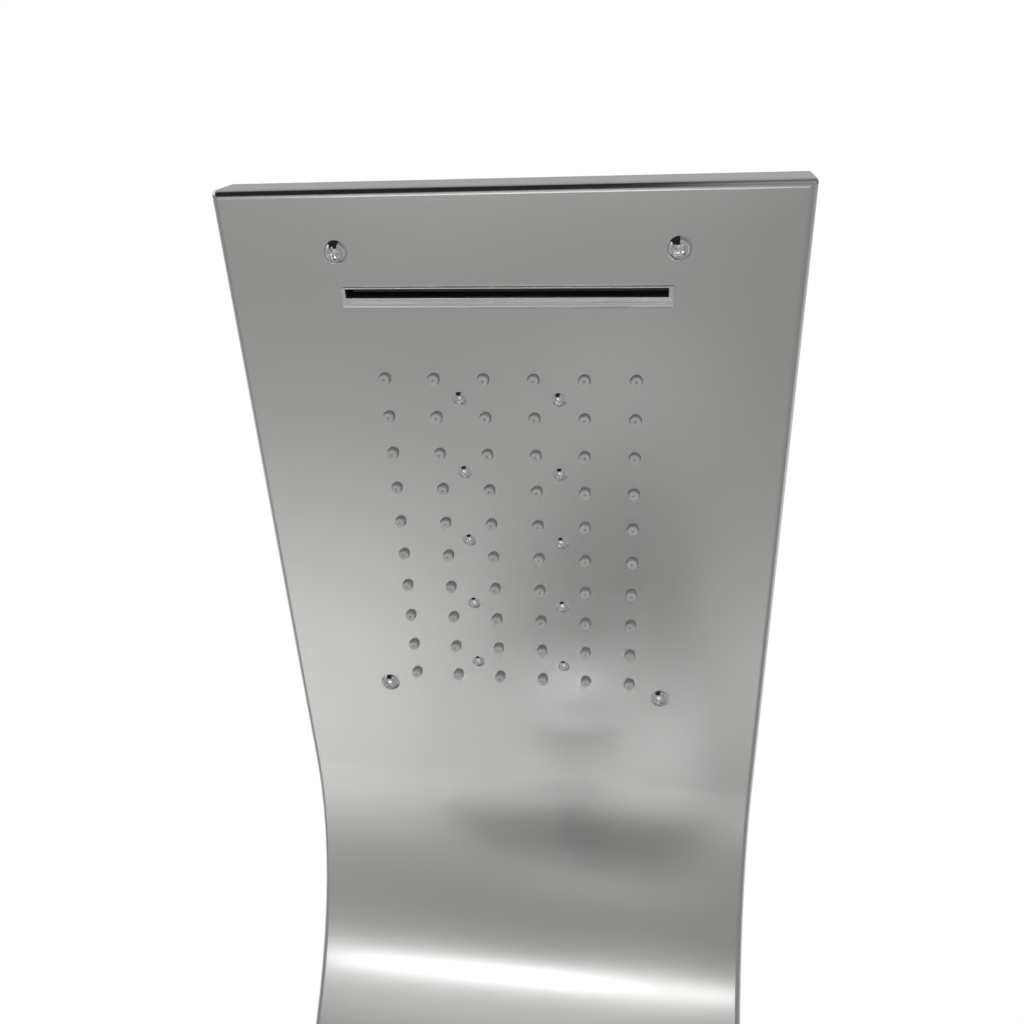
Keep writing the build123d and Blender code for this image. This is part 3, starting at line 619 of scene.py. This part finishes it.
# %% Head screws
SMALL_RADIUS = 2.9 * MM
SMALL_RISE = 1.5 * MM
TURNS = (0.3, 1.1, 0.75, 1.4, 0.1, 0.9, 0.55, 1.25, 0.2, 1.0)
small_spots = spots_on_face("chamber_screws", 6 * MM)
small_low, _ = span_in_head("chamber_screws")
small = cross_screw(SMALL_RADIUS, SMALL_RISE, 1.5 * MM, -small_low.z, 0.9 * MM, 3.8 * MM, 0.9 * MM)
small_screws = stamp(small, from_head, small_spots, TURNS)
dress(small_screws, "chamber_pan_screws", "chrome", "column", "chamber_screws")

big_spots = spots_on_face("head_screws", 10 * MM)
big_low, _ = span_in_head("head_screws")
big = cross_screw(BIG_SCREW_RADIUS, BIG_SCREW_RISE, 2 * MM, -big_low.z, 1.5 * MM, 6.4 * MM, 1.9 * MM)
big_screws = stamp(big, from_head, big_spots, (0.2, 0.95, 0.6, 1.2))
dress(big_screws, "head_pan_screws", "chrome", "column", "head_screws")
print("small screws", len(small_spots), "big screws", len(big_spots))

# %% [markdown]
# The waterfall outlet is one chromed block let into the sheet. Water leaves by
# the long gap on its tip side; the wide lip beside the gap carries a thin
# engraved line. The block is a cube whose top is sliced with bisect into strips:
# one strip is pushed in deep for the gap, and a narrow one slightly for the line.

# %% Waterfall outlet
OUTLET_PROUD = 1.2 * MM
FLANGE_SIDE = 4.8 * MM
FLANGE_REACH = 5 * MM
GAP_WIDTH = 3.4 * MM
GAP_DEPTH = 9 * MM
FRONT_RIM = 0.55 * MM
LINE_WIDTH = 0.5 * MM
LINE_DEPTH = 0.45 * MM
LIP_ROUND = 1.0 * MM
outlet_low, outlet_high = span_in_head("waterfall_spout")
block_low = Vector((outlet_low.x + FLANGE_SIDE, outlet_low.y + FLANGE_REACH, outlet_low.z))
block_high = Vector((outlet_high.x - FLANGE_SIDE, outlet_high.y - FLANGE_REACH, OUTLET_PROUD))
gap_front = block_high.y - FRONT_RIM
gap_back = gap_front - GAP_WIDTH
line_low = block_low.y + 2.2 * MM
line_high = line_low + LINE_WIDTH
gap_left = block_low.x + 1.6 * MM
gap_right = block_high.x - 2.2 * MM
line_left = block_low.x + 2.4 * MM
line_right = block_high.x - 1.2 * MM


def slice_at(axis, value):
    """Cuts new edges round the edited mesh where one coordinate has a value."""
    bpy.ops.mesh.select_all(action="SELECT")
    place = [0, 0, 0]
    place[axis] = value
    facing = [0, 0, 0]
    facing[axis] = 1
    bpy.ops.mesh.bisect(plane_co=place, plane_no=facing)


middle = (block_low + block_high) / 2
bpy.ops.mesh.primitive_cube_add(size=1, location=middle)
outlet = bpy.context.object
outlet.scale = block_high - block_low
bake_place(outlet)
edit()
for edge_y in (gap_front, gap_back, line_high, line_low):
    slice_at(1, edge_y)
for edge_x in (gap_left, gap_right, line_left, line_right):
    slice_at(0, edge_x)
pick(lambda place, normal: normal.z > 0.9 and gap_back < place.y < gap_front
     and gap_left < place.x < gap_right)
stretch_out(-GAP_DEPTH)
pick(lambda place, normal: normal.z > 0.9 and line_low < place.y < line_high
     and line_left < place.x < line_right)
stretch_out(-LINE_DEPTH)
pick(lambda first, last: min(first.z, last.z) > OUTLET_PROUD - 0.01 * MM
     and max(first.y, last.y) < block_low.y + 0.01 * MM, "EDGE")
bpy.ops.mesh.bevel(offset=LIP_ROUND, segments=6, affect="EDGES")
leave()
soften(outlet, 0.2 * MM, 3)
outlet.data.transform(from_head)
dress(outlet, "waterfall_outlet_block", "chrome", "column")

# %% [markdown]
# The gap leads into the dark: a thin black plastic lining runs round its walls,
# a little below the bright rim, and paints the shade deep inside the gap. It is a box
# with its top face inset for the wall's thickness and pushed down almost to the bottom.

# %% Black lining that paints the gap's shade
SHADE_LINER_WALL = 0.25 * MM
SHADE_LINER_DROP = 0.7 * MM
SHADE_LINER_DEPTH = 8.1 * MM
# Painted shade: this black box darkens the inside of the outlet's gap.
bpy.ops.mesh.primitive_cube_add(size=1, location=(
    (gap_left + gap_right) / 2, (gap_front + gap_back) / 2,
    OUTLET_PROUD - SHADE_LINER_DROP - SHADE_LINER_DEPTH / 2))
shade_liner = bpy.context.object
shade_liner.scale = (gap_right - gap_left - 0.1 * MM, gap_front - gap_back - 0.1 * MM, SHADE_LINER_DEPTH)
bake_place(shade_liner)
edit()
pick(lambda place, normal: normal.z > 0.9)
bpy.ops.mesh.inset(thickness=SHADE_LINER_WALL, depth=0)
stretch_out(SHADE_LINER_WALL - SHADE_LINER_DEPTH)
leave()
soften(shade_liner, 0.08 * MM, 2)
shade_liner.data.transform(from_head)
dress(shade_liner, "waterfall_outlet_shade_liner", "black_plastic", "column")

# %% [markdown]
# A wider flange behind the sheet keeps the outlet from being pulled through. It
# is a flat bar whose back face is inset and raised into a stiffening rib, and the
# gap goes straight through it.

# %% Flange of the outlet
FLANGE = 1.5 * MM
bpy.ops.mesh.primitive_cube_add(size=1, location=(middle.x, middle.y, -SHEET - FLANGE / 2))
flange = bpy.context.object
flange.scale = (outlet_high.x - outlet_low.x, outlet_high.y - outlet_low.y, FLANGE)
bake_place(flange)
edit()
pick(lambda place, normal: normal.z < -0.9)
bpy.ops.mesh.inset(thickness=1.5 * MM, depth=0)
stretch_out(-0.6 * MM)
leave()
soften(flange, 0.3 * MM, 2)
bpy.ops.mesh.primitive_cube_add(size=1, location=(
    (gap_left + gap_right) / 2, (gap_front + gap_back) / 2, -SHEET))
way = bpy.context.object
way.scale = (gap_right - gap_left, gap_front - gap_back, 8 * MM)
bake_place(way)
cut_with(flange, way)
flange.data.transform(from_head)
dress(flange, "waterfall_outlet_flange", "chrome", "column", "waterfall_spout")

# %% [markdown]
# Light comes last. A pale floor lies under the column, and the steel mirrors it,
# so the floor's light and shade become the panel's. The sky is an even white
# where the camera sees it directly. Where it lights things, it is bright above
# and below, brightest behind the column, and has a dark belt above the horizon in
# front: polished metal needs something dark to mirror, or its edges vanish.

# %% Floor and sky
FLOOR_DROP = 0.06
floor_z = cad_box[0][2] - FLOOR_DROP
bpy.ops.mesh.primitive_plane_add(size=12, location=(0, 0, floor_z))
floor = bpy.context.object
floor.name = "floor"
floor_paint, floor_tree, floor_shader = new_finish("floor_paint", (0.62, 0.62, 0.61), 0.9)
tint(floor_tree, floor_shader, noise(floor_tree, object_space(floor_tree), 1.5),
     (0.60, 0.60, 0.59), (0.64, 0.64, 0.63))
floor.data.materials.append(floor_paint)
deselect()

world = bpy.data.worlds.new("studio")
scene.world = world
world.use_nodes = True
sky = world.node_tree
sky.nodes.clear()
seen = add(sky, "ShaderNodeBackground", Color=(1, 1, 1, 1), Strength=1.0)
lit = add(sky, "ShaderNodeBackground", Strength=0.46)
direction = sky.nodes.new("ShaderNodeTexCoord")
height = sky.nodes.new("ShaderNodeSeparateXYZ")
join(sky, direction, "Generated", height, "Vector")
above = add(sky, "ShaderNodeMapRange", From_Min=-1.0, From_Max=1.0)
join(sky, height, "Z", above, "Value")
bands = sky.nodes.new("ShaderNodeValToRGB")
bands.color_ramp.interpolation = "B_SPLINE"
BACKDROP = 1.5
SKY_BANDS = ((0.0, 1.0), (0.47, 1.0), (0.54, 0.3), (0.72, 0.3), (0.84, 0.95), (1.0, 1.0))
while len(bands.color_ramp.elements) < len(SKY_BANDS):
    bands.color_ramp.elements.new(0.5)
for stop, (place, shade) in zip(bands.color_ramp.elements, SKY_BANDS):
    stop.position = place
    stop.color = (shade, shade, shade, 1)
join(sky, above, "Result", bands, "Fac")
behind = add(sky, "ShaderNodeMapRange", From_Min=-0.05, From_Max=0.4, To_Max=BACKDROP)
join(sky, height, "Y", behind, "Value")
brighter = sky.nodes.new("ShaderNodeMath")
brighter.operation = "MAXIMUM"
sky.links.new(bands.outputs["Color"], brighter.inputs[0])
sky.links.new(behind.outputs["Result"], brighter.inputs[1])
join(sky, brighter, "Value", lit, "Color")
path = sky.nodes.new("ShaderNodeLightPath")
mix = sky.nodes.new("ShaderNodeMixShader")
sky_out = sky.nodes.new("ShaderNodeOutputWorld")
join(sky, path, "Is Camera Ray", mix, "Fac")
sky.links.new(lit.outputs["Background"], mix.inputs[1])
sky.links.new(seen.outputs["Background"], mix.inputs[2])
join(sky, mix, "Shader", sky_out, "Surface")
scene.view_settings.view_transform = "Standard"

# %% [markdown]
# Soft lamps shape the metal. A large one high on the left models the body. A long
# thin one low in front is what the neck mirrors as a bright band. The rest hang
# just above the floor and brighten it where the head and the neck mirror it: two
# behind the column, one in front and a small one at its foot.

# %% Lamps


def soft_lamp(name, at, towards, width, height, watts, roll=0.0):
    """A rectangular soft lamp at a point, facing another point, turned by a roll in degrees."""
    bpy.ops.object.light_add(type="AREA", location=at)
    lamp = bpy.context.object
    lamp.name = name
    lamp.data.shape = "RECTANGLE"
    lamp.data.size = width
    lamp.data.size_y = height
    lamp.data.energy = watts
    facing = (Vector(towards) - Vector(at)).to_track_quat("-Z", "Y")
    lamp.rotation_euler = (facing.to_matrix() @ Matrix.Rotation(radians(roll), 3, "Z")).to_euler()
    lamp.visible_camera = False
    deselect()
    return lamp


neck = Vector((0, -0.14, 0.10))
soft_lamp("key", (-1.5, -1.2, 0.9), (0, -0.1, -0.4), 1.2, 1.2, 5.5)
strip = soft_lamp("neck_strip", (-0.15, -0.865, -1.09), neck, 0.95, 0.025, 0.15, -11)
strip.data.spread = radians(80)
soft_lamp("floor_glow_left", (-0.75, 0.55, -0.7), (-0.75, 0.55, floor_z), 0.8, 0.6, 4.8)
soft_lamp("floor_glow_right", (0.4, 0.4, -0.95), (0.4, 0.4, floor_z), 0.35, 0.35, 0.6)
soft_lamp("floor_glow_front", (-0.35, -1.3, -0.9), (-0.35, -1.3, floor_z), 1.2, 0.8, 2.6)
soft_lamp("foot_glow", (0.02, -0.2, -1.1), (0.02, -0.2, floor_z), 0.34, 0.15, 0.13)

# %% [markdown]
# A dark card hangs in front of the head on the left, as in a real studio. The
# camera never sees it, but the domes of the screws mirror it above a bright
# floor, which is what makes them look round and polished.

# %% Dark card
bpy.ops.mesh.primitive_plane_add(size=1, location=(-0.4, -1.05, 0.22), rotation=(pi / 2, 0, 0))
card = bpy.context.object
card.name = "dark_card"
card.scale = (1.0, 0.95, 1)
card.visible_camera = False
card_felt, card_tree, card_shader = new_finish("card_felt", (0.02, 0.02, 0.02), 0.95)
tint(card_tree, card_shader, noise(card_tree, object_space(card_tree), 3),
     (0.015, 0.015, 0.015), (0.025, 0.025, 0.025))
card.data.materials.append(card_felt)
deselect()
